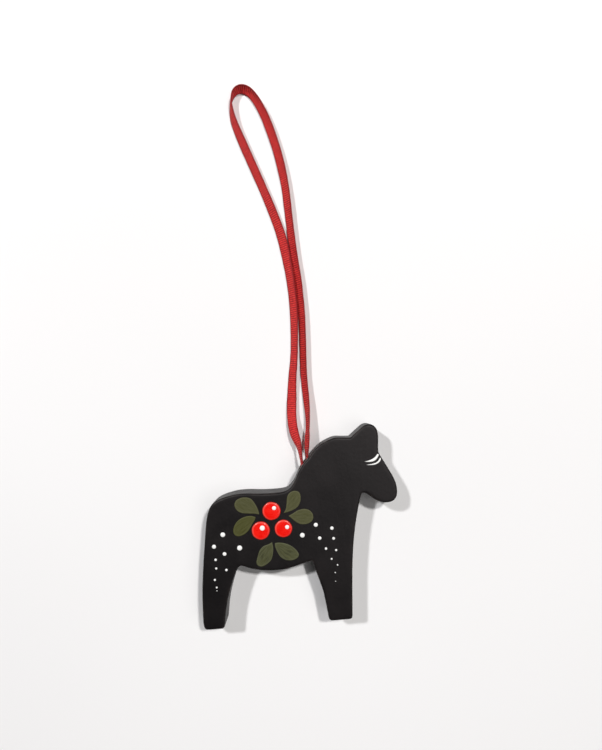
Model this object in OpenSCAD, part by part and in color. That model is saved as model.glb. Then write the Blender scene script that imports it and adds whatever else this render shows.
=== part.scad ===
// Flat wooden dala horse ornament on a ribbon loop, lying on its plain back.
// +X points to the muzzle, +Y to the ears, +Z out of the painted front.
// The origin is the middle of the horse's outline, on the back face.

/* [Horse] */
// Height of the horse's drawn outline from the soles to the tip of the ears
horse_h = 60; // [50:1:75]
// Thickness of the board that the horse is sawn from
board_t = 9.5; // [8:0.5:12]
// Radius that the sawn edges are sanded to
edge_r = 0.7; // [0.4:0.1:1]
// Distance that the saw keeps outside the drawn outline
saw_margin = 0.3; // [0:0.1:0.5]

/* [Ribbon] */
// Width of the woven ribbon
ribbon_w = 3.2; // [2.6:0.1:3.3]
// Thickness of the woven ribbon
ribbon_t = 0.45; // [0.3:0.05:0.5]

/* [Ribbon hole] */
// Diameter of the hole in the neck crest
hole_d = 4; // [3.9:0.1:5]
// Height on the outline at which the hole ends
hole_floor_y = 7; // [4:0.5:10]
// Height on the outline that the glue reaches up to
glue_top_y = 15; // [12:0.5:16]

/* [Paint] */
// Thickness of the leaf strokes
leaf_t = 0.12; // [0.08:0.02:0.2]
// Height of the berries at their flat middle
berry_t = 0.35; // [0.2:0.05:0.6]
// Height of the largest white dot
dot_t = 0.3; // [0.15:0.05:0.4]
// Thickness of the white eye strokes
stroke_t = 0.12; // [0.08:0.02:0.2]

/* [Hidden] */

k = horse_h / 60;         // outlines below are drawn 60 mm tall
mid_z = board_t / 2;      // the hole runs in the middle of the board
hole_x = 3.4 * k;

black = [0.11, 0.10, 0.11];
red_ribbon = [0.74, 0.16, 0.18];
berry_red = [0.93, 0.12, 0.05];
leaf_green = [0.31, 0.32, 0.21];
white = [0.97, 0.97, 0.95];
amber = [0.75, 0.66, 0.45];

// ---- curves through hand-set points ----
function cr(a, b, c, d, t) =
    0.5 * (2 * b + (c - a) * t + (2 * a - 5 * b + 4 * c - d) * t * t
           + (3 * b - a - 3 * c + d) * t * t * t);
// an open curve, n steps to a span, without its last point
function curve(p, n) = let (m = len(p) - 1)
    [for (i = [0 : m - 1]) for (j = [0 : n - 1])
        cr(i == 0 ? 2 * p[0] - p[1] : p[i - 1], p[i], p[i + 1],
           i == m - 1 ? 2 * p[m] - p[m - 1] : p[i + 2], j / n)];
// a closed outline that starts and ends in the pointed corner p[0]
function leaf_curve(p, n) = curve(concat(p, [p[0]]), n);

// ---- outline of the horse, one list from corner to corner ----
inner_rear = [[-25.4, -30], [-24.9, -26.5], [-24.15, -22.75], [-22.9, -18.5],
              [-21.4, -14.5], [-20.25, -12.25], [-19.5, -11.2], [-18.75, -10.9],
              [-17.75, -11.1], [-15.5, -12], [-12, -12.8], [-8.5, -13.1],
              [-5.5, -13.05], [-2.5, -12.5], [0.75, -11.6]];
inner_front = [[3.85, -10.9], [4.4, -13.25], [5.5, -17], [6.6, -21.25],
               [7.25, -26]];
chest_to_brow = [[14.5, -30], [14.75, -26], [15.25, -19], [15.75, -13],
                 [16.4, -7.5], [17.25, -2.5], [18.25, 2], [19.25, 5.75],
                 [19.8, 7.6], [20.3, 8.6], [21, 8.95], [21.9, 8.65],
                 [23.5, 7.4], [25, 6.25], [26.75, 5.5], [28.5, 5.35],
                 [30, 5.75], [30.9, 6.7], [31.25, 8.2], [31.2, 10],
                 [30.6, 12.25], [29.25, 15.1], [27.75, 18]];
ear = [[26.3, 20.75], [26.4, 23], [26.65, 25.5], [26.5, 27.5], [26.1, 28.5],
       [25.2, 29.3], [24, 29.6], [22.85, 29.25], [21.2, 28], [19.7, 26.85]];
crest_to_rump = [[18.5, 25.8], [16, 26], [13.5, 26.15], [11.5, 25.55],
                 [9.75, 24.8], [8.1, 23.75], [6.5, 22.3], [5.1, 20.6],
                 [3.35, 18.9], [1.75, 16.75], [0.5, 14.25], [-0.9, 12.2],
                 [-2.4, 11], [-4.25, 10.5], [-7, 10.4], [-11, 10.5],
                 [-15, 10.85], [-18.5, 10.85], [-21.5, 10.35], [-24, 9.6],
                 [-25.9, 8.5], [-27.1, 6.75], [-28, 4], [-28.65, 0.25],
                 [-29.4, -5], [-30.2, -11], [-30.95, -18], [-31.25, -24],
                 [-31.4, -28]];

horse_outline = k * concat(
    curve(concat(inner_rear, [inner_front[0]]), 2),
    curve(concat(inner_front, [[7.75, -30]]), 2), [[7.75, -30]],
    curve(concat(chest_to_brow, [ear[0]]), 2),
    curve(concat(ear, [crest_to_rump[0]]), 2),
    curve(concat(crest_to_rump, [[-31.1, -30]]), 2), [[-31.1, -30]]);

// ---- painted shapes ----
upper_left_leaf = [[-11.75, 4.4], [-12, 5.9], [-12.75, 7.75], [-13.9, 9.4],
                   [-15.4, 10], [-17.2, 9.95], [-18.7, 9.2], [-19.25, 7.75],
                   [-18.5, 6.1], [-17, 5.2], [-14.75, 4.9], [-13, 4.7]];
lower_left_leaf = [[-12.9, 3.7], [-14.25, 4.15], [-16, 4.1], [-18, 3.35],
                   [-19.5, 1.9], [-20.2, 0.1], [-19.9, -1.25], [-18.9, -1.85],
                   [-17.25, -1.6], [-15.6, -0.5], [-14.3, 1.3], [-13.3, 2.75]];
upper_right_leaf = [[-4.2, 4.3], [-3.5, 5.4], [-3.1, 7], [-2.85, 8.75],
                    [-2.3, 10], [-1.25, 10.75], [0, 10.9], [1.1, 10.4],
                    [1.5, 9.1], [1.2, 7.25], [0.2, 5.8], [-1.5, 4.9],
                    [-3, 4.45]];
right_leaf = [[-2.8, 3.3], [-1.4, 3.95], [0.25, 4.8], [2.1, 5.15],
              [3.75, 4.65], [4.75, 3.5], [4.9, 2.1], [4.1, 0.9], [2.5, 0.35],
              [0.75, 0.5], [-0.75, 1.4], [-1.9, 2.5]];
bottom_left_leaf = [[-8.4, -4.4], [-9.6, -5], [-11.25, -5.5], [-12.5, -6.75],
                    [-13.2, -8.5], [-13.75, -10.25], [-13.4, -11.3],
                    [-12.4, -11.75], [-11, -11.4], [-9.4, -10.25],
                    [-8.6, -8.75], [-8.2, -6.5]];
bottom_right_leaf = [[-7.6, -4.75], [-6, -4.75], [-3.9, -5.3], [-2.1, -6.4],
                     [-0.8, -7.8], [-0.4, -9], [-1.1, -10], [-2.6, -10.5],
                     [-4.5, -10.3], [-6.1, -9.25], [-7.1, -7.5], [-7.6, -6]];
upper_stroke = [[22.05, 18.3], [23.35, 18.55], [24.5, 18.95], [25.5, 19.6], [26.25, 20.45],
                [26.65, 20.1], [26.15, 19.25], [25.6, 18.65], [25, 18.3],
                [24, 18.1], [22.95, 18.15]];
lower_stroke = [[22.5, 17.3], [23.85, 17.4], [24.9, 17.55], [25.75, 17.85], [26.5, 18.5],
                [26.95, 19.25], [27.15, 18.9], [27, 18.3], [26.6, 17.85],
                [26.05, 17.45], [25.2, 17.15], [24.05, 17.1], [23.1, 17.2]];

// centre x, centre y, radius
berry_spots = [[-7.9, 5.2, 2.85], [-11.65, -0.6, 2.85], [-4.6, -0.5, 2.75]];
highlight_spots = [[-7, 6.1, 0.65], [-11.1, 0.2, 0.8], [-3.4, -0.05, 0.65]];
rump_spots = [[-23.5, -1, 0.75], [-26.5, -4.5, 0.65], [-18.6, -5.5, 0.8],
              [-23.4, -7, 0.6], [-26.3, -8.6, 0.4], [-26.3, -11.3, 0.35],
              [-23.2, -12, 0.4], [-27, -14.8, 0.35], [-26.6, -17.2, 0.3],
              [-26.6, -18.2, 0.15]];
chest_spots = [[1.1, -3, 0.75], [5.5, -0.1, 0.65], [10.4, -1.5, 0.55],
               [6.4, -4.3, 0.55], [10.7, -4.7, 0.45], [8.1, -7.7, 0.4],
               [11.2, -8.4, 0.35], [9.6, -11, 0.3], [11.3, -13, 0.25],
               [10.4, -15.3, 0.2], [10.3, -18, 0.15]];

// ---- the ribbon's route: x, y, z of its middle, and its lean from flat ----
// up the run nearer the tail, round the top and down the run nearer the head
loop_route = [[1.7, 25.5, 4.2, 45], [0.7, 29.05, 2.9, 20], [0.4, 34.1, 1.5, 14],
              [0.9, 40.2, 1, 18], [1.6, 46.75, 1.15, 35], [2.6, 53.35, 1.35, 43],
              [3.3, 61.45, 1.35, 42], [3.6, 69.55, 1.25, 37], [3.3, 77.65, 1.3, 40],
              [2.6, 84.75, 1.15, 32], [1.4, 92.85, 0.95, 23], [-0.9, 100.95, 1.1, 32],
              [-3.8, 109.55, 1.25, 38], [-6.7, 117.65, 1.3, 38],
              [-9.4, 125.25, 1.35, 42], [-11.2, 130.8, 1.5, 52],
              [-11.8, 134.85, 1.75, 68], [-11.5, 137.9, 1.8, 86],
              [-10.4, 140.3, 1.8, 104], [-8.3, 141.35, 1.75, 118],
              [-6.1, 140.7, 1.7, 122], [-4.2, 138.6, 1.65, 126],
              [-2.4, 135.35, 1.55, 132], [-0.6, 130.8, 1.4, 140],
              [1.3, 124.2, 1.3, 144], [2.8, 117.15, 1.3, 143], [3.9, 109.05, 1.3, 141],
              [4.3, 100.95, 1.4, 136], [4.7, 91.8, 1.35, 138],
              [5.3, 83.2, 1.35, 139], [5.9, 75.1, 1.35, 138],
              [6.1, 67, 1.4, 134], [5.9, 59.4, 1.45, 131],
              [5.5, 51.3, 1.45, 130], [5.4, 44.25, 1.6, 130],
              [5.6, 38.15, 2.1, 124], [5.6, 33.1, 2.9, 113], [5.2, 29.05, 3.7, 110],
              [4.8, 25.5, 4.3, 118]];
tail_left = [[2.6, 8, mid_z, 90], [2.6, 12, mid_z, 90], [2.6, 15, mid_z, 90],
             [2.65, 17, mid_z, 89], [2.5, 19, mid_z, 80], [2.3, 21, mid_z, 74],
             [2.25, 22.5, mid_z - 0.1, 71], [2.1, 23.6, mid_z - 0.25, 65]];
tail_right = [[4.2, 8, mid_z, 90], [4.2, 12, mid_z, 90], [4.2, 16, mid_z, 90],
              [4.2, 18, mid_z, 87], [4.25, 20, mid_z, 81],
              [4.4, 22.5, mid_z - 0.1, 70]];
// the stretch of the tails that the glue holds
glued_x = [2.6 * k, 4.2 * k];

function unit(v) = v / norm(v);
// corners of the ribbon's section, w across and t through it
function section(w, t) = let (a = w / 2, b = t / 2, c = t / 3)
    [[a, -b + c], [a, b - c], [a - c, b], [-a + c, b],
     [-a, b - c], [-a, -b + c], [-a + c, -b], [a - c, -b]];

// a flat band swept along route r; its lean turns it about the route
module ribbon(r, steps) {
    m = len(r) - 1;
    p = [for (q = concat(curve(r, steps), [r[m]]))
        [q[0] * k, q[1] * k, q[2], q[3]]];
    n = len(p) - 1;
    s = section(ribbon_w, ribbon_t);
    c = len(s);
    points = [for (i = [0 : n])
        let (a = p[max(i - 1, 0)], b = p[min(i + 1, n)],
             along = unit([b[0] - a[0], b[1] - a[1], b[2] - a[2]]),
             side = unit(cross(along, [0, 0, 1])),
             up = cross(side, along),
             across = side * cos(p[i][3]) + up * sin(p[i][3]),
             out = up * cos(p[i][3]) - side * sin(p[i][3]))
        for (q = s) [p[i][0], p[i][1], p[i][2]] + across * q[0] + out * q[1]];
    faces = concat(
        [[for (j = [0 : c - 1]) j]],
        [[for (j = [c - 1 : -1 : 0]) n * c + j]],
        [for (i = [0 : n - 1]) for (j = [0 : c - 1])
            [i * c + j, (i + 1) * c + j, i * c + (j + 1) % c]],
        [for (i = [0 : n - 1]) for (j = [0 : c - 1])
            [i * c + (j + 1) % c, (i + 1) * c + j, (i + 1) * c + (j + 1) % c]]);
    polyhedron(points = points, faces = faces, convexity = 10);
}

// ball with true poles for sanding an edge
module sanding_ball(r) {
    rotate_extrude($fn = 20)
        polygon([for (a = [-90 : 30 : 90]) [r * cos(a), r * sin(a)]]);
}

module horse_body() {
    color(black) difference() {
        minkowski() {
            translate([0, 0, edge_r]) linear_extrude(board_t - 2 * edge_r)
                offset(delta = saw_margin - edge_r) polygon(horse_outline);
            sanding_ball(edge_r);
        }
        translate([hole_x, 32 * k, mid_z]) rotate([90, 0, 0])
            cylinder(h = (32 - hole_floor_y) * k, d = hole_d, $fn = 48);
    }
}

module ribbon_loop() {
    color(red_ribbon) ribbon(loop_route, 2);
}

module ribbon_tails() {
    color(red_ribbon) {
        ribbon(tail_left, 2);
        ribbon(tail_right, 2);
    }
}

// glue that fills the bottom of the hole around the two tails
module glue_plug() {
    h = (glue_top_y - hole_floor_y) * k;
    color(amber) difference() {
        translate([hole_x, glue_top_y * k, mid_z]) rotate([90, 0, 0])
            cylinder(h = h, d = hole_d, $fn = 48);
        for (x = glued_x)
            translate([x - ribbon_t / 2, 8 * k, mid_z - ribbon_w / 2])
                cube([ribbon_t, h, ribbon_w]);
    }
}

// a drop of paint with a flat middle and a round shoulder
module berry(spot) {
    r = spot[2] * k;
    h = berry_t;
    translate([spot[0] * k, spot[1] * k, board_t])
        rotate_extrude($fn = 64)
            polygon(concat([[0, 0], [r, 0]],
                           [for (a = [15 : 15 : 90])
                               [r - h * 1.6 * (1 - cos(a)), h * sin(a)]],
                           [[0, h]]));
}

module berry_top() { color(berry_red) berry(berry_spots[0]); }
module berry_left() { color(berry_red) berry(berry_spots[1]); }
module berry_right() { color(berry_red) berry(berry_spots[2]); }

// a small domed dot of paint standing on height z
module dot(spot, z, h) {
    r = spot[2] * k;
    translate([spot[0] * k, spot[1] * k, z])
        rotate_extrude($fn = 32)
            polygon(concat([[0, 0], [r, 0]],
                           [for (a = [20 : 20 : 80]) [r * cos(a), h * sin(a)]],
                           [[0, h]]));
}

module berry_highlights() {
    color(white) for (s = highlight_spots)
        dot(s, board_t + berry_t, 0.2);
}

module leaf(points) {
    color(leaf_green) translate([0, 0, board_t]) linear_extrude(leaf_t)
        polygon(k * leaf_curve(points, 3));
}

module leaf_upper_left() { leaf(upper_left_leaf); }
module leaf_lower_left() { leaf(lower_left_leaf); }
module leaf_upper_right() { leaf(upper_right_leaf); }
module leaf_right() { leaf(right_leaf); }
module leaf_bottom_left() { leaf(bottom_left_leaf); }
module leaf_bottom_right() { leaf(bottom_right_leaf); }

module dots(spots) {
    color(white) for (s = spots)
        dot(s, board_t, dot_t * (0.4 + 0.6 * s[2] / 0.8));
}

module rump_dots() { dots(rump_spots); }
module chest_dots() { dots(chest_spots); }

// an eye stroke, ending where the sanded edge begins
module eye_stroke(points) {
    color(white) translate([0, 0, board_t]) linear_extrude(stroke_t)
        intersection() {
            polygon(k * leaf_curve(points, 2));
            offset(delta = saw_margin - edge_r) polygon(horse_outline);
        }
}

module eye_stroke_upper() { eye_stroke(upper_stroke); }
module eye_stroke_lower() { eye_stroke(lower_stroke); }

horse_body();
ribbon_loop();
ribbon_tails();
glue_plug();
berry_top();
berry_left();
berry_right();
berry_highlights();
leaf_upper_left();
leaf_lower_left();
leaf_upper_right();
leaf_right();
leaf_bottom_left();
leaf_bottom_right();
rump_dots();
chest_dots();
eye_stroke_upper();
eye_stroke_lower();
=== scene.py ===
"""Looks for the dala horse ornament: painted board, paint films and a woven ribbon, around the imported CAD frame."""
import math

import bpy
import numpy as np
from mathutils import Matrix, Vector, geometry


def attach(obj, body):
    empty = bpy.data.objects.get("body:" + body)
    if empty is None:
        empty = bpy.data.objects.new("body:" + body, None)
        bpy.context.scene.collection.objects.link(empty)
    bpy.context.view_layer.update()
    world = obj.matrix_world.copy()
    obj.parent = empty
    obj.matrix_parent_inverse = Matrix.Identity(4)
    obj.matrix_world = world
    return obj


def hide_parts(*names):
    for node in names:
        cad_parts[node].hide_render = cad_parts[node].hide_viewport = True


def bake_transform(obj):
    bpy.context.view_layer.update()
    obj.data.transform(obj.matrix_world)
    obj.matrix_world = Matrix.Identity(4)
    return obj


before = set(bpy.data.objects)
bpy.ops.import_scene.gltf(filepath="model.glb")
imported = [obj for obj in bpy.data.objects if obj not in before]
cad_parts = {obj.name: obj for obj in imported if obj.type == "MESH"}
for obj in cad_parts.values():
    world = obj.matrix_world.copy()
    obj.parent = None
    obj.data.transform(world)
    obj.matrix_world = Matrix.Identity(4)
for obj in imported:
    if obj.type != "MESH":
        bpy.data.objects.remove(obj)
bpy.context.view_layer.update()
scene = bpy.context.scene
MM = 0.001

# ------------------------------------------------------------------ camera
TURN = math.radians(4.3)  # the horse stands a little turned in the frame
cam_data = bpy.data.cameras.new("camera")
cam_data.sensor_width = 36.0
cam_data.lens = 24.93
cam_data.shift_y = 0.0373
cam = bpy.data.objects.new("camera", cam_data)
cam.location = (0.00375, 0.03794, 0.1706)
cam.rotation_euler = (0.0, 0.0, -TURN)
cam_data.clip_start, cam_data.clip_end = 0.01, 20
scene.collection.objects.link(cam)
scene.camera = cam

scene.view_settings.view_transform = "Standard"
scene.view_settings.look = "None"


# ------------------------------------------------------------------ helpers
def catmull(points, n):
    """The curve through the points, n steps to a span, with its last point."""
    p = np.array(points, float)
    a = np.vstack([2 * p[0] - p[1], p, 2 * p[-1] - p[-2]])
    out = []
    for i in range(len(p) - 1):
        q0, q1, q2, q3 = a[i : i + 4]
        for j in range(n):
            t = j / n
            out.append(
                0.5 * (2 * q1 + (q2 - q0) * t + (2 * q0 - 5 * q1 + 4 * q2 - q3) * t * t
                       + (3 * q1 - q0 - 3 * q2 + q3) * t ** 3)
            )
    return np.array(out + [p[-1]])


def resample(line, step, closed=False):
    """Points a constant distance apart along a line, columns past x, y, z carried along."""
    p = np.vstack([line, line[:1]]) if closed else line
    d = np.concatenate([[0], np.cumsum(np.linalg.norm(np.diff(p[:, : min(3, p.shape[1])], axis=0), axis=1))])
    n = max(3, int(round(d[-1] / step)))
    at = np.linspace(0, d[-1], n + 1)
    if closed:
        at = at[:-1]
    return np.stack([np.interp(at, d, p[:, k]) for k in range(p.shape[1])], axis=1)


def smooth_closed(p, sigma, step):
    r = int(math.ceil(3 * sigma / step))
    k = np.exp(-0.5 * (np.arange(-r, r + 1) * step / sigma) ** 2)
    k /= k.sum()
    return sum(w * np.roll(p, i - r, axis=0) for i, w in enumerate(k))


def smooth_open(p, sigma, step):
    r = int(math.ceil(3 * sigma / step))
    k = np.exp(-0.5 * (np.arange(-r, r + 1) * step / sigma) ** 2)
    k /= k.sum()
    pad = np.vstack([2 * p[0] - p[r:0:-1], p, 2 * p[-1] - p[-2 : -r - 2 : -1]])
    return np.stack([np.convolve(pad[:, c], k, "valid") for c in range(p.shape[1])], axis=1)


def waves(x, y, seed, size, n=7):
    """Smooth deterministic unevenness of about -1 to 1 over x and y, with features of about that size."""
    r = np.random.default_rng(seed)
    z = np.zeros_like(x)
    for _ in range(n):
        a, f, ph = r.uniform(0, 2 * math.pi), r.uniform(0.6, 1.5) / size, r.uniform(0, 2 * math.pi)
        z = z + np.sin(2 * math.pi * f * (x * math.cos(a) + y * math.sin(a)) + ph)
    return z / math.sqrt(n) * 0.8


def distance_to(points, line):
    """Distance of each 2D point from a closed polyline given by close points."""
    a, b = line, np.roll(line, -1, axis=0)
    d = b - a
    dd = np.maximum((d * d).sum(1), 1e-12)
    best = np.empty(len(points))
    for s in range(0, len(points), 400):
        p = points[s : s + 400, None, :]
        t = np.clip(((p - a) * d).sum(2) / dd, 0, 1)
        best[s : s + 400] = np.sqrt((((p - a) - t[..., None] * d) ** 2).sum(2).min(1))
    return best


def inside(points, line):
    a, b = line, np.roll(line, -1, axis=0)
    hit = np.zeros(len(points), bool)
    x, y = points[:, 0], points[:, 1]
    for (x0, y0), (x1, y1) in zip(a, b):
        if y0 != y1:
            c = (y0 > y) != (y1 > y)
            hit ^= c & (x < (x1 - x0) * (y - y0) / (y1 - y0) + x0)
    return hit


def outward(line):
    """Outward normals of a closed counter-clockwise outline."""
    t = np.roll(line, -1, axis=0) - np.roll(line, 1, axis=0)
    t /= np.linalg.norm(t, axis=1)[:, None]
    return np.stack([t[:, 1], -t[:, 0]], axis=1)


def signed_area(line):
    x, y = line[:, 0], line[:, 1]
    return 0.5 * np.sum(x * np.roll(y, -1) - np.roll(x, -1) * y)


def fill_points(loop, grid, margin, seed):
    """Points of a jittered grid inside a loop, kept a margin away from it."""
    lo, hi = loop.min(0), loop.max(0)
    xs, ys = np.arange(lo[0], hi[0], grid), np.arange(lo[1], hi[1], grid * 0.866)
    gx, gy = np.meshgrid(xs, ys)
    gx[1::2] += grid / 2
    p = np.stack([gx.ravel(), gy.ravel()], axis=1)
    p += np.random.default_rng(seed).uniform(-0.08, 0.08, p.shape) * grid
    p = p[inside(p, loop)]
    return p[distance_to(p, loop) > margin]


def triangulated(loop, inner):
    """Triangles over a loop and the points in it: indices into the loop's points, then the inner ones."""
    pts = [Vector(map(float, q)) for q in np.vstack([loop, inner])]
    n = len(loop)
    edges = [(i, (i + 1) % n) for i in range(n)]
    co, _, faces, orig, _, _ = geometry.delaunay_2d_cdt(pts, edges, [], 1, 1e-7)
    index = [o[0] if o else -1 for o in orig]
    return [tuple(index[i] for i in f) for f in faces if all(index[i] >= 0 for i in f)]


def new_object(name, verts, faces, smooth=True, angle=None, attributes=None):
    mesh = bpy.data.meshes.new(name)
    mesh.from_pydata((np.asarray(verts, float) * MM).tolist(), [], [tuple(int(i) for i in f) for f in faces])
    mesh.validate()
    mesh.update()
    for key, values in (attributes or {}).items():
        a = mesh.attributes.new(key, "FLOAT", "POINT")
        a.data.foreach_set("value", np.asarray(values, np.float32))
    obj = bpy.data.objects.new(name, mesh)
    scene.collection.objects.link(obj)
    if smooth:
        mesh.polygons.foreach_set("use_smooth", [True] * len(mesh.polygons))
    if angle is not None:
        mesh.set_sharp_from_angle(angle=math.radians(angle))
    return obj


def outward_faces(obj):
    import bmesh

    bm = bmesh.new()
    bm.from_mesh(obj.data)
    bmesh.ops.recalc_face_normals(bm, faces=bm.faces)
    bm.to_mesh(obj.data)
    bm.free()
    obj.data.update()


# ------------------------------------------------------------------ material helpers
class Nodes:
    """Short calls for building a material's nodes."""

    def __init__(self, name):
        self.mat = bpy.data.materials.new(name)
        self.mat.use_nodes = True
        self.tree = self.mat.node_tree
        self.bsdf = self.tree.nodes["Principled BSDF"]
        self._mm = None

    def add(self, kind, inputs=None, **props):
        node = self.tree.nodes.new(kind)
        for k, v in props.items():
            setattr(node, k, v)
        for k, v in (inputs or {}).items():
            self.put(node.inputs[k], v)
        return node

    def put(self, socket, v):
        if isinstance(v, bpy.types.NodeSocket):
            self.tree.links.new(v, socket)
        else:
            socket.default_value = v

    def mm(self, scale=(1, 1, 1), rotate=(0, 0, 0)):
        """Object coordinates in millimetres."""
        if self._mm is None:
            self._mm = self.add("ShaderNodeTexCoord").outputs["Object"]
        s = tuple(1000 * c for c in scale)
        return self.add("ShaderNodeMapping", {"Vector": self._mm, "Scale": s, "Rotation": rotate}).outputs[0]

    def noise(self, scale, detail=3, rough=0.5, vector=None, distortion=0.0):
        return self.add("ShaderNodeTexNoise", {"Vector": vector or self.mm(), "Scale": scale, "Detail": detail,
                                               "Roughness": rough, "Distortion": distortion}).outputs["Fac"]

    def math(self, op, a, b=0.0, c=0.0, clamp=False):
        n = self.add("ShaderNodeMath", operation=op, use_clamp=clamp)
        for i, v in enumerate((a, b, c)):
            self.put(n.inputs[i], v)
        return n.outputs[0]

    def ramp(self, fac, stops, mode="LINEAR"):
        n = self.add("ShaderNodeValToRGB", {"Fac": fac})
        n.color_ramp.interpolation = mode
        e = n.color_ramp.elements
        while len(e) < len(stops):
            e.new(0.5)
        for x, (pos, col) in zip(e, stops):
            x.position = pos
            x.color = (*col, 1) if len(col) == 3 else col
        return n.outputs["Color"]

    def range(self, v, a, b, c, d, smooth=False):
        n = self.add("ShaderNodeMapRange", {"Value": v, "From Min": a, "From Max": b, "To Min": c, "To Max": d})
        n.interpolation_type = "SMOOTHSTEP" if smooth else "LINEAR"
        return n.outputs["Result"]

    def mix(self, fac, a, b, blend="MIX"):
        n = self.add("ShaderNodeMix", data_type="RGBA", blend_type=blend)
        self.put(n.inputs[0], fac)
        self.put(n.inputs[6], a if not isinstance(a, tuple) else (*a, 1))
        self.put(n.inputs[7], b if not isinstance(b, tuple) else (*b, 1))
        return n.outputs[2]

    def attr(self, name):
        return self.add("ShaderNodeAttribute", attribute_name=name, attribute_type="GEOMETRY").outputs["Fac"]

    def bump(self, height, distance, strength=1.0, normal=None):
        i = {"Height": height, "Distance": distance, "Strength": strength}
        if normal is not None:
            i["Normal"] = normal
        return self.add("ShaderNodeBump", i).outputs[0]

    def set(self, **inputs):
        for k, v in inputs.items():
            name = k.replace("_", " ")
            if isinstance(v, tuple) and len(v) == 3:
                v = (*v, 1)
            self.put(self.bsdf.inputs[name], v)
        return self.mat


def lin(r, g, b):
    """Linear colour from 0 to 255 display values."""
    return tuple(((c / 255 + 0.055) / 1.055) ** 2.4 if c > 10 else c / 255 / 12.92 for c in (r, g, b))


# ------------------------------------------------------------------ ribbon
# the route's points: x, y, z of the ribbon's middle in mm, and its lean from flat in degrees
MID = 4.75
LOOP = [(1.7, 25.5, 4.2, 45), (0.7, 29.05, 2.9, 20), (0.4, 34.1, 1.5, 14), (0.9, 40.2, 1, 18),
        (1.6, 46.75, 1.15, 35), (2.6, 53.35, 1.35, 43), (3.3, 61.45, 1.35, 42), (3.6, 69.55, 1.25, 37),
        (3.3, 77.65, 1.3, 40), (2.6, 84.75, 1.15, 32), (1.4, 92.85, 0.95, 23), (-0.9, 100.95, 1.1, 32),
        (-3.8, 109.55, 1.25, 38), (-6.7, 117.65, 1.3, 38), (-9.4, 125.25, 1.35, 42),
        (-11.2, 130.8, 1.5, 52), (-11.8, 134.85, 1.75, 68), (-11.5, 137.9, 1.8, 86),
        (-10.4, 140.3, 1.8, 104), (-8.3, 141.35, 1.75, 118), (-6.1, 140.7, 1.7, 122),
        (-4.2, 138.6, 1.65, 126), (-2.4, 135.35, 1.55, 132), (-0.6, 130.8, 1.4, 140),
        (1.3, 124.2, 1.3, 144), (2.8, 117.15, 1.3, 143), (3.9, 109.05, 1.3, 141), (4.3, 100.95, 1.4, 136),
        (4.7, 91.8, 1.35, 138), (5.3, 83.2, 1.35, 139), (5.9, 75.1, 1.35, 138), (6.1, 67, 1.4, 134),
        (5.9, 59.4, 1.45, 131), (5.5, 51.3, 1.45, 130), (5.4, 44.25, 1.6, 130), (5.6, 38.15, 2.1, 124),
        (5.6, 33.1, 2.9, 113), (5.2, 29.05, 3.7, 110), (4.8, 25.5, 4.3, 118)]
TAIL_LEFT = [(2.6, 8, MID, 90), (2.6, 12, MID, 90), (2.6, 15, MID, 90), (2.65, 17, MID, 89),
             (2.5, 19, MID, 80), (2.3, 21, MID, 74), (2.25, 22.5, MID - 0.1, 71),
             (2.1, 23.6, MID - 0.25, 65)]
TAIL_RIGHT = [(4.2, 8, MID, 90), (4.2, 12, MID, 90), (4.2, 16, MID, 90), (4.2, 18, MID, 87),
              (4.25, 20, MID, 81), (4.4, 22.5, MID - 0.1, 70)]
route = TAIL_LEFT + LOOP + [(x, y, z, 180 - a) for x, y, z, a in reversed(TAIL_RIGHT)]

RIB = 0.7  # mm from one crosswise rib to the next
STEPS = 6  # rings to a rib
HALF_W, HALF_T = 1.6, 0.17


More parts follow.
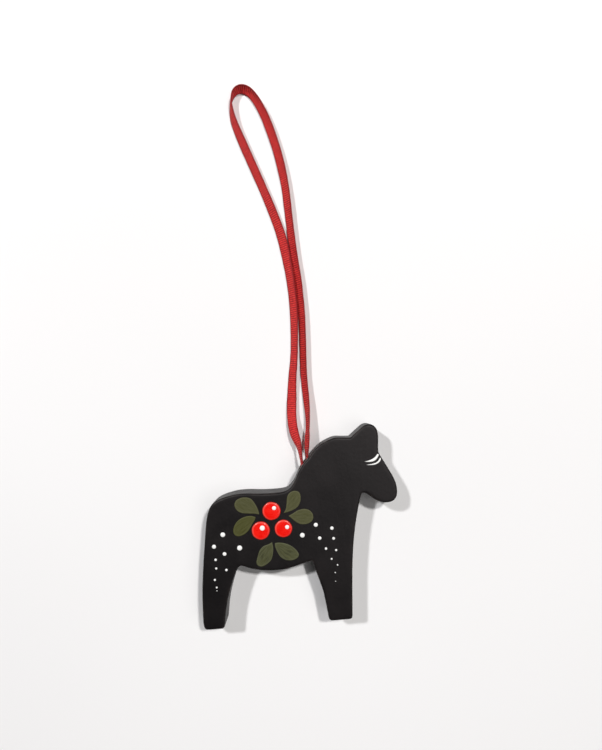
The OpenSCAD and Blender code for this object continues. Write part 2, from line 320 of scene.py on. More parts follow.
def woven_ribbon():
    line = resample(catmull(route, 40), RIB / STEPS)
    line = smooth_open(line, 0.9, RIB / STEPS)
    n = len(line)
    c, lean = line[:, :3], np.radians(line[:, 3])
    along = np.gradient(c, axis=0)
    along /= np.linalg.norm(along, axis=1)[:, None]
    side = np.cross(along, [0, 0, 1])
    side /= np.linalg.norm(side, axis=1)[:, None]
    up = np.cross(side, along)
    across = side * np.cos(lean)[:, None] + up * np.sin(lean)[:, None]
    out = up * np.cos(lean)[:, None] - side * np.sin(lean)[:, None]
    v = np.arange(n) * (RIB / STEPS)

    s = np.linspace(-1, 1, 23)
    u = s * (1.45 - 0.45 * s * s)
    # thickness across: a thicker corded selvedge and round edges
    t = HALF_T * np.sqrt(np.clip(1 - np.abs(u) ** 14, 0, 1)) * (1 + 0.30 * np.exp(-(((np.abs(u) - 0.90) / 0.06) ** 2)))
    t[0] = t[-1] = 0.0
    # the cloth doesn't lie dead flat across: it cups a little, more in some places than in others
    cup = 0.16 + 0.07 * np.sin(v / 23.0 + 1.0) + 0.03 * np.sin(v / 7.3)
    rib = (0.5 + 0.5 * np.cos(2 * math.pi * v / RIB)) ** 0.7
    wob = 0.035 * waves(v, 0 * v, 11, 9.0)  # width varies very slightly
    uneven = 0.03 * waves(v[:, None] + 0 * u[None], 3 * u[None] + 0 * v[:, None], 5, 6.0)

    ring = []  # (u index, sign) round the section
    m = len(u)
    ring += [(i, 1) for i in range(m)]
    ring += [(i, -1) for i in range(m - 2, 0, -1)]
    k = len(ring)
    verts = np.empty((n, k, 3))
    att_u, att_v, att_c = np.empty((n, k)), np.empty((n, k)), np.empty((n, k))
    mask = np.clip((1 - np.abs(u)) / 0.16, 0, 1) ** 0.5
    for j, (i, sg) in enumerate(ring):
        w = (HALF_W + wob - 0.02 * (1 - rib) * (abs(u[i]) > 0.99)) * u[i]
        lift = cup * (0.55 - u[i] ** 2) + uneven[:, i] + sg * (t[i] + 0.055 * mask[i] * (rib - 0.5))
        if t[i] == 0:
            lift = cup * (0.55 - u[i] ** 2) + uneven[:, i]
        verts[:, j] = c + across * w[:, None] + out * lift[:, None]
        att_u[:, j], att_v[:, j] = u[i] * HALF_W, v
        att_c[:, j] = rib * mask[i]
    verts[..., 2] = np.maximum(verts[..., 2], 0.04)
    faces = []
    idx = np.arange(n * k).reshape(n, k)
    a, b = idx[:-1], idx[1:]
    for j in range(k):
        j2 = (j + 1) % k
        faces.append(np.stack([a[:, j], b[:, j], b[:, j2], a[:, j2]], axis=1))
    faces = np.concatenate(faces).tolist()
    faces.append([int(x) for x in idx[0]])
    faces.append([int(x) for x in idx[-1][::-1]])
    obj = new_object("ribbon", verts.reshape(-1, 3), faces, attributes={
        "across": att_u.ravel(), "along": att_v.ravel(), "crest": att_c.ravel()})
    outward_faces(obj)
    return obj, c


ribbon, ribbon_line = woven_ribbon()


# ------------------------------------------------------------------ the sawn board
INNER_REAR = [(-25.4, -30), (-24.9, -26.5), (-24.15, -22.75), (-22.9, -18.5), (-21.4, -14.5),
              (-20.25, -12.25), (-19.5, -11.2), (-18.75, -10.9), (-17.75, -11.1), (-15.5, -12),
              (-12, -12.8), (-8.5, -13.1), (-5.5, -13.05), (-2.5, -12.5), (0.75, -11.6)]
INNER_FRONT = [(3.85, -10.9), (4.4, -13.25), (5.5, -17), (6.6, -21.25), (7.25, -26)]
CHEST_TO_BROW = [(14.5, -30), (14.75, -26), (15.25, -19), (15.75, -13), (16.4, -7.5), (17.25, -2.5),
                 (18.25, 2), (19.25, 5.75), (19.8, 7.6), (20.3, 8.6), (21, 8.95), (21.9, 8.65),
                 (23.5, 7.4), (25, 6.25), (26.75, 5.5), (28.5, 5.35), (30, 5.75), (30.9, 6.7),
                 (31.25, 8.2), (31.2, 10), (30.6, 12.25), (29.25, 15.1), (27.75, 18)]
EAR = [(26.3, 20.75), (26.4, 23), (26.65, 25.5), (26.5, 27.5), (26.1, 28.5), (25.2, 29.3),
       (24, 29.6), (22.85, 29.25), (21.2, 28), (19.7, 26.85)]
CREST_TO_RUMP = [(18.5, 25.8), (16, 26), (13.5, 26.15), (11.5, 25.55), (9.75, 24.8), (8.1, 23.75),
                 (6.5, 22.3), (5.1, 20.6), (3.35, 18.9), (1.75, 16.75), (0.5, 14.25), (-0.9, 12.2),
                 (-2.4, 11), (-4.25, 10.5), (-7, 10.4), (-11, 10.5), (-15, 10.85), (-18.5, 10.85),
                 (-21.5, 10.35), (-24, 9.6), (-25.9, 8.5), (-27.1, 6.75), (-28, 4), (-28.65, 0.25),
                 (-29.4, -5), (-30.2, -11), (-30.95, -18), (-31.25, -24), (-31.4, -28)]
BOARD, EDGE, SAW_MARGIN = 9.5, 0.7, 0.3
HOLE_X, HOLE_R, HOLE_FLOOR = 3.4, 2.0, 7.0


def horse_outline():
    corner = [INNER_REAR + INNER_FRONT[:1], INNER_FRONT + [(7.75, -30)], [(7.75, -30), CHEST_TO_BROW[0]],
              CHEST_TO_BROW + EAR[:1], EAR + CREST_TO_RUMP[:1], CREST_TO_RUMP + [(-31.1, -30)],
              [(-31.1, -30), INNER_REAR[0]]]
    line = np.vstack([catmull(c, 10)[:-1] for c in corner])
    line = resample(line, 0.25, closed=True)
    line = line if signed_area(line) > 0 else line[::-1]
    line = line + outward(line) * SAW_MARGIN
    line = smooth_closed(line, 0.4, 0.25)
    return resample(line, 0.25, closed=True)


outline = horse_outline()
face_loop = None


def top_of_board(xy):
    """Height of the front face, down over its sanded edge."""
    d = distance_to(xy, outline)
    d = np.where(inside(xy, outline), d, 0)
    q = np.clip((EDGE - d) / EDGE, 0, 1)
    return BOARD - EDGE * (1 - np.sqrt(np.clip(1 - q * q, 0, 1)))


def painted_board():
    n = len(outline)
    nrm = outward(outline)
    # the edge is sanded by hand, so its radius isn't quite even
    s = np.arange(n) * 0.25
    total = n * 0.25
    r = EDGE * (1 + 0.10 * np.sin(2 * math.pi * s / total * 7 + 1) + 0.07 * np.sin(2 * math.pi * s / total * 17 + 4))
    r = r[:, None]
    steps = 7
    rings = []  # (xy, z)
    for i in range(steps + 1):
        a = math.pi / 2 * i / steps
        rings.append((outline - nrm * r * (1 - math.sin(a)), (r * (1 - math.cos(a)))[:, 0]))
    wall = 8
    for i in range(1, wall):
        f = i / wall
        z = r[:, 0] * (1 - f) + (BOARD - r[:, 0]) * f
        # faint saw and sanding waviness of the cut side
        dent = 0.025 * waves(s, z * 1.5, 3, 5.0)
        rings.append((outline + nrm * np.minimum(dent, 0.01)[:, None], z))
    for i in range(steps + 1):
        a = math.pi / 2 * (1 - i / steps)
        rings.append((outline - nrm * r * (1 - math.sin(a)), (BOARD - r * (1 - math.cos(a)))[:, 0]))
    verts = [np.column_stack([xy, z]) for xy, z in rings]
    faces = []
    for i in range(len(rings) - 1):
        for j in range(n):
            j2 = (j + 1) % n
            faces.append((i * n + j, i * n + j2, (i + 1) * n + j2, (i + 1) * n + j))
    base = len(rings) * n
    for loop, z, flip, first in ((rings[-1][0], BOARD, False, (len(rings) - 1) * n), (rings[0][0], 0.0, True, 0)):
        inner = fill_points(loop, 0.9, 0.35, 2)
        h = np.full(len(inner), z)
        if not flip:
            d = distance_to(inner, loop)
            h = h + 0.022 * waves(inner[:, 0], inner[:, 1], 8, 11.0) * np.clip(d / 2.5, 0, 1)
        verts.append(np.column_stack([inner, h]))
        for f in triangulated(loop, inner):
            g = [first + i if i < n else base + i - n for i in f]
            faces.append(tuple(g[::-1]) if flip else tuple(g))
        base += len(inner)
    obj = new_object("painted_horse", np.vstack(verts), faces)
    outward_faces(obj)

    # the ribbon's hole
    seg = 56
    ang = 2 * math.pi * np.arange(seg) / seg
    cyl = [np.column_stack([HOLE_X + HOLE_R * np.cos(ang), np.full(seg, y), MID + HOLE_R * np.sin(ang)])
           for y in (HOLE_FLOOR, 33.0)]
    cf = [(j, (j + 1) % seg, seg + (j + 1) % seg, seg + j) for j in range(seg)]
    cf += [tuple(range(seg))[::-1], tuple(range(seg, 2 * seg))]
    drill = new_object("drill", np.vstack(cyl), cf)
    outward_faces(drill)
    mod = obj.modifiers.new("hole", "BOOLEAN")
    mod.object, mod.operation, mod.solver = drill, "DIFFERENCE", "EXACT"
    dg = bpy.context.evaluated_depsgraph_get()
    mesh = bpy.data.meshes.new_from_object(obj.evaluated_get(dg))
    obj.modifiers.clear()
    obj.data = mesh
    bpy.data.objects.remove(drill)
    co = np.array([v.co for v in mesh.vertices], float) / MM
    d = np.full(len(co), 5.0)
    near = (co[:, 2] < EDGE + 0.01) | (co[:, 2] > BOARD - EDGE - 0.01)
    d[near] = distance_to(co[near, :2], outline)
    # band along the rounded edge where black_paint lightens the colour: a painted highlight
    edge_highlight_mask = np.exp(-((np.clip(d, 0, 5) - 0.25) / 0.28) ** 2) * near
    bore = (np.hypot(co[:, 0] - HOLE_X, co[:, 2] - MID) < HOLE_R + 0.02) & (co[:, 1] > HOLE_FLOOR - 0.1) & (co[:, 1] < 24)
    for key, val in (("edge", edge_highlight_mask), ("bore", bore.astype(float))):
        a = mesh.attributes.get(key) or mesh.attributes.new(key, "FLOAT", "POINT")
        a.data.foreach_set("value", val.astype(np.float32))
    mesh.polygons.foreach_set("use_smooth", [True] * len(mesh.polygons))
    mesh.set_sharp_from_angle(angle=math.radians(42))
    return obj


board = painted_board()


# ------------------------------------------------------------------ paint on the board
def film(name, loop, height, grid, seed, relief=None, attributes=None, base=None, sink=0.05):
    """A closed film of paint over an outline. height(d, x, y) is its thickness at distance d from its edge."""
    if signed_area(loop) < 0:
        loop = loop[::-1]
    inner = fill_points(loop, grid, grid * 0.55, seed)
    tris = triangulated(loop, inner)
    xy = np.vstack([loop, inner])
    n, total = len(loop), len(xy)
    d = np.concatenate([np.zeros(n), distance_to(inner, loop)])
    ground = top_of_board(xy) if base is None else base(xy)
    top = ground + height(d, xy[:, 0], xy[:, 1])
    low = ground - sink
    verts = np.vstack([np.column_stack([xy, top]), np.column_stack([xy, low])])
    faces = list(tris) + [tuple(total + i for i in f[::-1]) for f in tris]
    faces += [(j, total + j, total + (j + 1) % n, (j + 1) % n) for j in range(n)]
    att = {k: np.tile(f(d, xy[:, 0], xy[:, 1]), 2) for k, f in (attributes or {}).items()}
    obj = new_object(name, verts, faces, attributes=att)
    outward_faces(obj)
    obj.data.set_sharp_from_angle(angle=math.radians(75))
    return obj


def hand_drawn(points, step, wobble, seed, sigma):
    """A closed outline through the points, starting in a corner, with the small unevenness of a brush."""
    p = catmull(list(points) + [points[0]], 14)[:-1]
    p = resample(p, step, closed=True)
    p = smooth_closed(p, sigma, step)
    if signed_area(p) < 0:
        p = p[::-1]
    s = np.arange(len(p)) / len(p) * 2 * math.pi
    r = np.random.default_rng(seed)
    w = sum(np.sin(k * s + r.uniform(0, 6.28)) * r.uniform(0.4, 1) / k ** 0.5 for k in (3, 5, 8, 13, 21))
    return p + outward(p) * (wobble * w)[:, None]


LEAVES = {
    "leaf_upper_left": [(-11.75, 4.4), (-12, 5.9), (-12.75, 7.75), (-13.9, 9.4), (-15.4, 10),
                        (-17.2, 9.95), (-18.7, 9.2), (-19.25, 7.75), (-18.5, 6.1), (-17, 5.2),
                        (-14.75, 4.9), (-13, 4.7)],
    "leaf_lower_left": [(-12.9, 3.7), (-14.25, 4.15), (-16, 4.1), (-18, 3.35), (-19.5, 1.9),
                        (-20.2, 0.1), (-19.9, -1.25), (-18.9, -1.85), (-17.25, -1.6), (-15.6, -0.5),
                        (-14.3, 1.3), (-13.3, 2.75)],
    "leaf_upper_right": [(-4.2, 4.3), (-3.5, 5.4), (-3.1, 7), (-2.85, 8.75), (-2.3, 10),
                         (-1.25, 10.75), (0, 10.9), (1.1, 10.4), (1.5, 9.1), (1.2, 7.25),
                         (0.2, 5.8), (-1.5, 4.9), (-3, 4.45)],
    "leaf_right": [(-2.8, 3.3), (-1.4, 3.95), (0.25, 4.8), (2.1, 5.15), (3.75, 4.65), (4.75, 3.5),
                   (4.9, 2.1), (4.1, 0.9), (2.5, 0.35), (0.75, 0.5), (-0.75, 1.4), (-1.9, 2.5)],
    "leaf_bottom_left": [(-8.4, -4.4), (-9.6, -5), (-11.25, -5.5), (-12.5, -6.75), (-13.2, -8.5),
                         (-13.75, -10.25), (-13.4, -11.3), (-12.4, -11.75), (-11, -11.4),
                         (-9.4, -10.25), (-8.6, -8.75), (-8.2, -6.5)],
    "leaf_bottom_right": [(-7.6, -4.75), (-6, -4.75), (-3.9, -5.3), (-2.1, -6.4), (-0.8, -7.8),
                          (-0.4, -9), (-1.1, -10), (-2.6, -10.5), (-4.5, -10.3), (-6.1, -9.25),
                          (-7.1, -7.5), (-7.6, -6)],
}
UPPER_STROKE = [(22.05, 18.3), (23.35, 18.55), (24.5, 18.95), (25.5, 19.6), (26.25, 20.45), (26.65, 20.1),
                (26.15, 19.25), (25.6, 18.65), (25, 18.3), (24, 18.1), (22.95, 18.15)]
LOWER_STROKE = [(22.5, 17.3), (23.85, 17.4), (24.9, 17.55), (25.75, 17.85), (26.5, 18.5), (26.95, 19.25),
                (27.15, 18.9), (27, 18.3), (26.6, 17.85), (26.05, 17.45), (25.2, 17.15), (24.05, 17.1),
                (23.1, 17.2)]
BERRIES = {"berry_top": (-7.9, 5.2, 2.85), "berry_left": (-11.65, -0.6, 2.85), "berry_right": (-4.6, -0.5, 2.75)}
HIGHLIGHTS = [(-7, 6.1, 0.65), (-11.1, 0.2, 0.8), (-3.4, -0.05, 0.65)]
RUMP = [(-23.5, -1, 0.75), (-26.5, -4.5, 0.65), (-18.6, -5.5, 0.8), (-23.4, -7, 0.6), (-26.3, -8.6, 0.4),
        (-26.3, -11.3, 0.35), (-23.2, -12, 0.4), (-27, -14.8, 0.35), (-26.6, -17.2, 0.3),
        (-26.6, -18.2, 0.15)]
CHEST = [(1.1, -3, 0.75), (5.5, -0.1, 0.65), (10.4, -1.5, 0.55), (6.4, -4.3, 0.55), (10.7, -4.7, 0.45),
         (8.1, -7.7, 0.4), (11.2, -8.4, 0.35), (9.6, -11, 0.3), (11.3, -13, 0.25), (10.4, -15.3, 0.2),
         (10.3, -18, 0.15)]


def leaf(name, points, seed):
    tip = np.array(points[0], float)
    p = np.array(points, float)
    far = p[np.argmax(np.linalg.norm(p - tip, axis=1))]
    axis = (far - tip) / np.linalg.norm(far - tip)
    length = np.linalg.norm(far - tip)
    loop = hand_drawn(points, 0.13, 0.014, seed, 0.13)

    def local(x, y):
        a = (x - tip[0]) * axis[0] + (y - tip[1]) * axis[1]
        b = -(x - tip[0]) * axis[1] + (y - tip[1]) * axis[0]
        # bristle marks fan out of the tip
        fan = b / (0.35 + 0.65 * np.clip(a / (0.55 * length), 0.05, 1))
        return a / length, fan

    r = np.random.default_rng(seed + 40)
    marks = [(r.uniform(3.5, 9.5), r.uniform(0, 6.28), r.uniform(0.5, 1.0)) for _ in range(5)]

    def bristle(x, y):
        a, b = local(x, y)
        h = sum(w * np.sin(f * b + ph + 0.7 * np.sin(2.2 * a + ph)) for f, ph, w in marks) / 3.6
        return h * (0.45 + 0.55 * np.sin(math.pi * np.clip(a, 0.02, 0.98)) ** 0.7)

    def height(d, x, y):
        body = 0.07 * np.sqrt(np.clip(1 - (1 - np.clip(d / 0.22, 0, 1)) ** 2, 0, 1))
        rim = 0.028 * np.exp(-(((d - 0.2) / 0.14) ** 2))
        return body + rim + 0.016 * bristle(x, y) * np.clip(d / 0.3, 0, 1)

    obj = film(name + "_paint", loop, height, 0.17, seed, attributes={
        "rim": lambda d, x, y: np.exp(-(((d - 0.1) / 0.32) ** 2)),
        "bristle": lambda d, x, y: bristle(x, y),
        "stroke": lambda d, x, y: local(x, y)[0],
        "fan": lambda d, x, y: local(x, y)[1],
    })
    return obj


leaves = {n: leaf(n, p, 20 + i) for i, (n, p) in enumerate(LEAVES.items())}


def drops(name, spots, ground, height, seed, rings=9, seg=40, flat=0.0, edge_power=0.5, wobble=0.012):
    """Drops of paint, each a closed dome of its own."""
    verts, faces, rim = [], [], []
    rng = np.random.default_rng(seed)
    for cx, cy, r in spots:
        start = len(verts)
        a = 2 * math.pi * np.arange(seg) / seg
        w = 1 + sum(rng.uniform(-1, 1) * wobble * np.cos(k * a + rng.uniform(0, 6.28)) for k in (2, 3, 5))
        h = height(r)
        lean = rng.uniform(-0.08, 0.08, 2)  # the brush lifts off to one side
        verts.append((cx, cy, ground - 0.05))
        rim.append(1.0)
        for x, y in zip(np.cos(a) * w, np.sin(a) * w):
            verts.append((cx + r * x, cy + r * y, ground - 0.05))
            rim.append(1.0)
        for i in range(rings):
            f = 1 - (i / rings) ** 1.15 if i else 1.0
            z = h * (1 - max(0.0, (f - flat) / (1 - flat)) ** 2) ** edge_power
            for x, y in zip(np.cos(a) * w, np.sin(a) * w):
                verts.append((cx + r * f * x, cy + r * f * y, ground + z * (1 + lean[0] * x * f + lean[1] * y * f)))
                rim.append(f)
        verts.append((cx, cy, ground + h))
        rim.append(0.0)
        o = start + 1
        faces += [(start, o + (j + 1) % seg, o + j) for j in range(seg)]
        for i in range(rings):
            p, q = o + i * seg, o + (i + 1) * seg
            faces += [(p + j, p + (j + 1) % seg, q + (j + 1) % seg, q + j) for j in range(seg)]
        p = o + rings * seg
        top = len(verts) - 1
        faces += [(p + j, p + (j + 1) % seg, top) for j in range(seg)]
    obj = new_object(name, verts, faces, attributes={"rim": rim})
    outward_faces(obj)
    obj.data.set_sharp_from_angle(angle=math.radians(80))
    return obj


def berry(name, spot, seed):
    cx, cy, r = spot
    a = 2 * math.pi * np.arange(150) / 150
    rng = np.random.default_rng(seed)
    w = 1 + sum(rng.uniform(0.4, 1) * 0.006 * np.cos(k * a + rng.uniform(0, 6.28)) for k in (2, 3, 5, 7))
    loop = np.column_stack([cx + r * w * np.cos(a), cy + r * w * np.sin(a)])
    ph = rng.uniform(0, 6.28)

    def height(d, x, y):
        q = np.hypot(x - cx, y - cy) / r
        shoulder = np.sqrt(np.clip(1 - (1 - np.clip(d / 0.5, 0, 1)) ** 2, 0, 1))
        crown = 0.24 + 0.10 * (1 - q ** 2)
        turn = np.arctan2(y - cy, x - cx)
        swirl = 0.006 * np.sin(9 * q + turn + ph) * np.clip(d / 0.5, 0, 1) * np.clip(q * 3, 0, 1)
        return shoulder * crown + swirl

    return film(name + "_paint", loop, height, 0.19, seed, attributes={
        "rim": lambda d, x, y: np.exp(-(((d - 0.30) / 0.22) ** 2)),
        "lip": lambda d, x, y: np.exp(-((d / 0.13) ** 2)),
        "side_x": lambda d, x, y: (x - cx) / r,
        "side_y": lambda d, x, y: (y - cy) / r,
    })


berries = {n: berry(n, s, 60 + i) for i, (n, s) in enumerate(BERRIES.items())}
highlights = drops("berry_highlights_paint", HIGHLIGHTS, BOARD + 0.31, lambda r: 0.19, 71, flat=0.15)
rump = drops("rump_dots_paint", RUMP, BOARD, lambda r: 0.3 * (0.4 + 0.6 * r / 0.8), 72)
chest = drops("chest_dots_paint", CHEST, BOARD, lambda r: 0.3 * (0.4 + 0.6 * r / 0.8), 73)


def eye_stroke(name, points, seed):
    loop = hand_drawn(points, 0.09, 0.006, seed, 0.09)
    keep = inside(loop, outline)
    loop = loop[keep] if keep.sum() > 20 else loop
    return film(name, loop, lambda d, x, y: 0.10 * np.sqrt(np.clip(1 - (1 - np.clip(d / 0.28, 0, 1)) ** 2, 0, 1))
                + 0.008 * np.sin(9 * (x + 0.6 * y)) * np.clip(d / 0.25, 0, 1), 0.12, seed,
                attributes={"rim": lambda d, x, y: np.exp(-((d / 0.12) ** 2))})


eye_up = eye_stroke("eye_stroke_upper_paint", UPPER_STROKE, 81)
eye_low = eye_stroke("eye_stroke_lower_paint", LOWER_STROKE, 82)


# ------------------------------------------------------------------ materials
def black_paint():
    n = Nodes("black_paint")
    grain = n.noise(0.55, 4, 0.6, n.mm((1.0, 0.09, 1.0)), 0.4)
    cloud = n.noise(0.09, 3, 0.55)
    nib = n.noise(5.5, 2, 0.5)
    tone = n.mix(n.range(cloud, 0.35, 0.7, 0, 1, True), (0.0026, 0.0022, 0.0025), (0.0048, 0.0038, 0.0041))
    tone = n.mix(n.range(grain, 0.52, 0.75, 0, 0.4, True), tone, (0.0015, 0.0013, 0.0014))
    # painted highlight: the rounded edge of the board lighter, warm grey, in patches
    edge = n.math("MULTIPLY", n.attr("edge"), n.range(n.noise(0.35, 4, 0.65), 0.42, 0.72, 0.0, 1.0, True))
    tone = n.mix(n.math("MULTIPLY", edge, 0.55), tone, lin(58, 50, 47))
    wood = n.mix(n.noise(1.2, 3, 0.5, n.mm((1, 0.2, 1))), lin(120, 88, 58), lin(86, 58, 36))
    col = n.mix(n.attr("bore"), tone, wood)
    rough = n.range(n.math("ADD", n.math("MULTIPLY", cloud, 0.7), n.math("MULTIPLY", n.noise(1.3, 3, 0.6), 0.3)),
                    0.3, 0.7, 0.40, 0.52)
    orange = n.noise(0.85, 3, 0.55)
    h = n.math("ADD", n.math("MULTIPLY", orange, 0.75), n.math("MULTIPLY", grain, 0.55))
    h = n.math("ADD", h, n.math("MULTIPLY", n.range(nib, 0.68, 0.8, 0, 1, True), 0.4))
    h = n.math("ADD", h, n.math("MULTIPLY", n.noise(9, 2, 0.5), 0.06))
    return n.set(Base_Color=col, Roughness=rough, Specular_IOR_Level=0.28, Specular_Tint=(1.0, 0.93, 0.93),
                 Normal=n.bump(h, 0.00006, 0.8))


def ribbon_weave():
    n = Nodes("red_ribbon_weave")
    u, v, crest = n.attr("across"), n.attr("along"), n.attr("crest")
    # warp yarns run along the ribbon, and every other one dips between ribs
    yarn = n.math("MULTIPLY", u, 2 * math.pi / 0.21)
    wu = n.math("ADD", n.math("MULTIPLY", n.math("COSINE", yarn), 0.5), 0.5)
    half = n.math("COSINE", n.math("ADD", n.math("MULTIPLY", yarn, 0.5), n.math("MULTIPLY", v, math.pi / RIB)))
    weave = n.math("MULTIPLY", n.math("ABSOLUTE", half), 0.5)
    spun = n.noise(7.0, 3, 0.6)
    tint = n.noise(0.35, 3, 0.6)
    # painted light and shade: rib crests and the middle of each warp yarn lighter, the valleys between darker
    shade = n.math("ADD", n.math("MULTIPLY", crest, 0.62), n.math("MULTIPLY", wu, 0.22))
    shade = n.math("ADD", shade, n.math("MULTIPLY", n.math("SUBTRACT", spun, 0.5), 0.5))
    coarse = n.noise(1.6, 3, 0.7)  # threads catch the light in patches
    shade = n.math("ADD", shade, n.math("MULTIPLY", n.math("SUBTRACT", coarse, 0.5), 1.1))
    col = n.ramp(n.math("ADD", shade, 0.0, clamp=True),
                 [(0.0, lin(104, 4, 8)), (0.35, lin(172, 18, 22)), (0.7, lin(218, 40, 40)), (1.0, lin(246, 74, 64))])
    col = n.mix(n.range(tint, 0.35, 0.7, 0, 0.22, True), col, lin(214, 52, 40), "MIX")
    # darker toward both edges: the denser corded selvedge, and painted shade where the cupped cloth turns away from
    # the light
    selvedge_and_edge_shade = n.range(n.math("ABSOLUTE", u), 0.95, 1.42, 0, 1, True)
    col = n.mix(n.math("MULTIPLY", selvedge_and_edge_shade, 0.62), col, lin(128, 8, 18))
    h = n.math("ADD", n.math("MULTIPLY", wu, 0.5), n.math("MULTIPLY", weave, 0.35))
    h = n.math("ADD", h, n.math("MULTIPLY", spun, 0.5))
    return n.set(Base_Color=col, Roughness=n.range(crest, 0, 1, 0.78, 0.6), Specular_IOR_Level=0.35,
                 Sheen_Weight=0.15, Sheen_Roughness=0.4, Sheen_Tint=(1.0, 0.55, 0.5),
                 Normal=n.bump(h, 0.00007, 0.9))


def berry_paint():
    n = Nodes("berry_red_paint")
    rim, lip = n.attr("rim"), n.attr("lip")
    cloud = n.noise(0.5, 3, 0.5)
    col = n.mix(n.range(cloud, 0.3, 0.7, 0, 1, True), lin(232, 16, 6), lin(242, 24, 9))
    # painted highlight: the raised rim of the paint paler, most on its upper left side
    light = n.range(n.math("ADD", n.math("MULTIPLY", n.attr("side_x"), -0.5), n.math("MULTIPLY", n.attr("side_y"), 0.6)),
                    -0.7, 0.8, 0.25, 1.0, True)
    col = n.mix(n.math("MULTIPLY", n.math("MULTIPLY", rim, light), 0.62), col, lin(240, 112, 98))
    col = n.mix(n.math("MULTIPLY", lip, 0.6), col, lin(120, 10, 8))
    h = n.math("ADD", n.noise(1.1, 2, 0.5), n.math("MULTIPLY", n.noise(4.0, 2, 0.5), 0.25))
    return n.set(Base_Color=col, Roughness=n.range(cloud, 0.3, 0.7, 0.22, 0.32), Specular_IOR_Level=0.38,
                 Coat_Weight=0.1, Coat_Roughness=0.12, Normal=n.bump(h, 0.00004, 0.6))


def leaf_paint(name, tone, pale, dark, streaks):
    n = Nodes(name)
    rim, bristle, stroke, fan = n.attr("rim"), n.attr("bristle"), n.attr("stroke"), n.attr("fan")
    vec = n.add("ShaderNodeCombineXYZ", {"X": n.math("MULTIPLY", stroke, 1.1), "Y": n.math("MULTIPLY", fan, 1.0)}).outputs[0]
    fine = n.noise(3.2, 4, 0.6, vec)
    col = n.mix(n.range(bristle, -0.9, 0.9, 0, 1, True), dark, tone)
    col = n.mix(n.range(fine, 0.35, 0.68, 0.0, 0.55, True), col, pale)
    lines = n.math("MULTIPLY", n.range(n.noise(1.9, 2, 0.5, vec), 0.5, 0.62, 0, 1, True),
                   n.math("MULTIPLY", n.range(stroke, 0.05, 0.25, 0, 1, True), n.range(stroke, 0.95, 0.6, 0, 1, True)))
    col = n.mix(n.math("MULTIPLY", lines, streaks), col, tuple(c * 0.45 for c in dark))
    col = n.mix(n.math("MULTIPLY", rim, 0.55), col, pale)
    h = n.math("ADD", n.math("MULTIPLY", fine, 0.8), n.math("MULTIPLY", n.noise(2.5, 3, 0.5), 0.35))
    return n.set(Base_Color=col, Roughness=n.range(fine, 0.3, 0.7, 0.5, 0.62), Specular_IOR_Level=0.3,
                 Normal=n.bump(h, 0.00004, 0.8))


def white_paint():
    n = Nodes("white_paint")
    cloud = n.noise(1.4, 3, 0.5)
    col = n.mix(n.range(cloud, 0.3, 0.7, 0, 1, True), (0.90, 0.89, 0.86), (0.95, 0.945, 0.93))
    thin = n.range(n.attr("rim"), 0.9, 1.0, 0.0, 0.35, True)
    col = n.mix(thin, col, (0.45, 0.44, 0.43))
    return n.set(Base_Color=col, Roughness=n.range(cloud, 0.3, 0.7, 0.36, 0.46), Specular_IOR_Level=0.5,
                 Normal=n.bump(n.noise(2.2, 3, 0.5), 0.00003, 0.6))


def glue():
    n = Nodes("dried_glue")
    cloud = n.noise(0.9, 3, 0.5)
    col = n.mix(cloud, lin(190, 160, 96), lin(150, 116, 62))
    return n.set(Base_Color=col, Roughness=n.range(cloud, 0.3, 0.7, 0.25, 0.4), Specular_IOR_Level=0.5,
                 Normal=n.bump(n.noise(1.5, 3, 0.5), 0.00008, 0.8))


def dress(obj, mat, body=None, node=None):
    obj.data.materials.clear()
    obj.data.materials.append(mat)
    if node:
        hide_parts(*([node] if isinstance(node, str) else node))
    if body:
        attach(obj, body)


dress(ribbon, ribbon_weave(), None, ["ribbon_loop", "ribbon_tails"])
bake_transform(ribbon)

dress(board, black_paint(), "horse", "horse_body")
olive = leaf_paint("leaf_paint", lin(71, 71, 36), lin(86, 86, 58), lin(62, 62, 28), 0.06)
olive_low = leaf_paint("leaf_paint_yellower", lin(68, 68, 20), lin(81, 82, 46), lin(58, 58, 14), 0.05)
olive_streaked = leaf_paint("leaf_paint_streaked", lin(70, 71, 38), lin(87, 89, 64), lin(59, 60, 30), 0.5)
for name, obj in leaves.items():
    mat = {"leaf_lower_left": olive_low, "leaf_bottom_left": olive_streaked, "leaf_bottom_right": olive_streaked}.get(name, olive)
    dress(obj, mat, "horse", name)
red = berry_paint()
for name, obj in berries.items():
    dress(obj, red, "horse", name)
white = white_paint()
dress(highlights, white, "horse", "berry_highlights")
dress(rump, white, "horse", "rump_dots")
dress(chest, white, "horse", "chest_dots")
dress(eye_up, white, "horse", "eye_stroke_upper")
dress(eye_low, white, "horse", "eye_stroke_lower")
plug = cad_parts["glue_plug"]
plug.data.materials.clear()
plug.data.materials.append(glue())


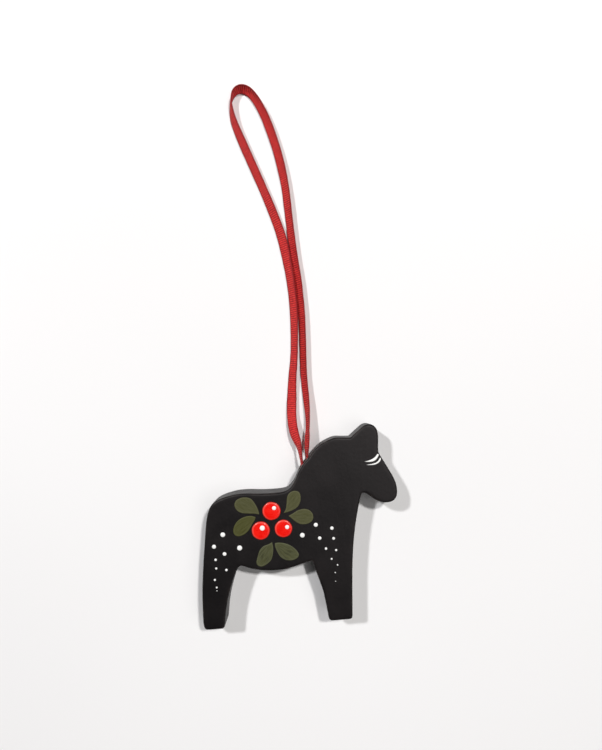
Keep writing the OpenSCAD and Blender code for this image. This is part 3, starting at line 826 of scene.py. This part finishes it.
# ------------------------------------------------------------------ floor and light
def pale_floor():
    n = Nodes("pale_floor")
    col = n.mix(n.range(n.noise(0.004, 2, 0.5), 0.35, 0.7, 0, 1, True), (0.87, 0.86, 0.86), (0.90, 0.89, 0.89))
    return n.set(Base_Color=col, Roughness=0.75, Specular_IOR_Level=0.25)


RIM = [(900 * math.cos(a), 900 * math.sin(a), 0) for a in np.linspace(0, 2 * math.pi, 128, endpoint=False)]
floor = new_object("floor", RIM, [tuple(range(len(RIM)))])
floor.data.materials.append(pale_floor())

RIGHT = Vector((math.cos(TURN), -math.sin(TURN), 0))
UP = Vector((math.sin(TURN), math.cos(TURN), 0))


def lamp(name, right, up, distance, size, power, colour):
    data = bpy.data.lights.new(name, "AREA")
    data.shape, data.size, data.energy, data.color = "DISK", size, power, colour
    obj = bpy.data.objects.new(name, data)
    d = (RIGHT * right + UP * up + Vector((0, 0, 1))).normalized()
    obj.location = Vector((0, 0.02, 0)) + d * distance
    obj.rotation_euler = d.to_track_quat("Z", "Y").to_euler()
    scene.collection.objects.link(obj)
    return obj


lamp("lamp_right", 0.32, 0.42, 1.1, 0.09, 6.9, (1.0, 0.99, 0.975))
lamp("lamp_left", -0.63, 0.50, 1.2, 0.09, 7.8, (0.985, 0.99, 1.0))
lamp("softbox", 0.45, -0.10, 0.75, 0.50, 0.9, (1.0, 0.985, 0.975))
world = bpy.data.worlds.new("studio")
scene.world = world
world.use_nodes = True
world.node_tree.nodes["Background"].inputs["Color"].default_value = (1.0, 0.99, 0.985, 1)
world.node_tree.nodes["Background"].inputs["Strength"].default_value = 0.04
# beyond the floor the studio is pale too, without lighting the shadows
wt = world.node_tree
pale = wt.nodes.new("ShaderNodeBackground")
pale.inputs["Color"].default_value, pale.inputs["Strength"].default_value = (0.70, 0.70, 0.70, 1), 1.0
mixer, ray = wt.nodes.new("ShaderNodeMixShader"), wt.nodes.new("ShaderNodeLightPath")
wt.links.new(ray.outputs["Is Camera Ray"], mixer.inputs[0])
wt.links.new(wt.nodes["Background"].outputs[0], mixer.inputs[1])
wt.links.new(pale.outputs[0], mixer.inputs[2])
wt.links.new(mixer.outputs[0], wt.nodes["World Output"].inputs[0])
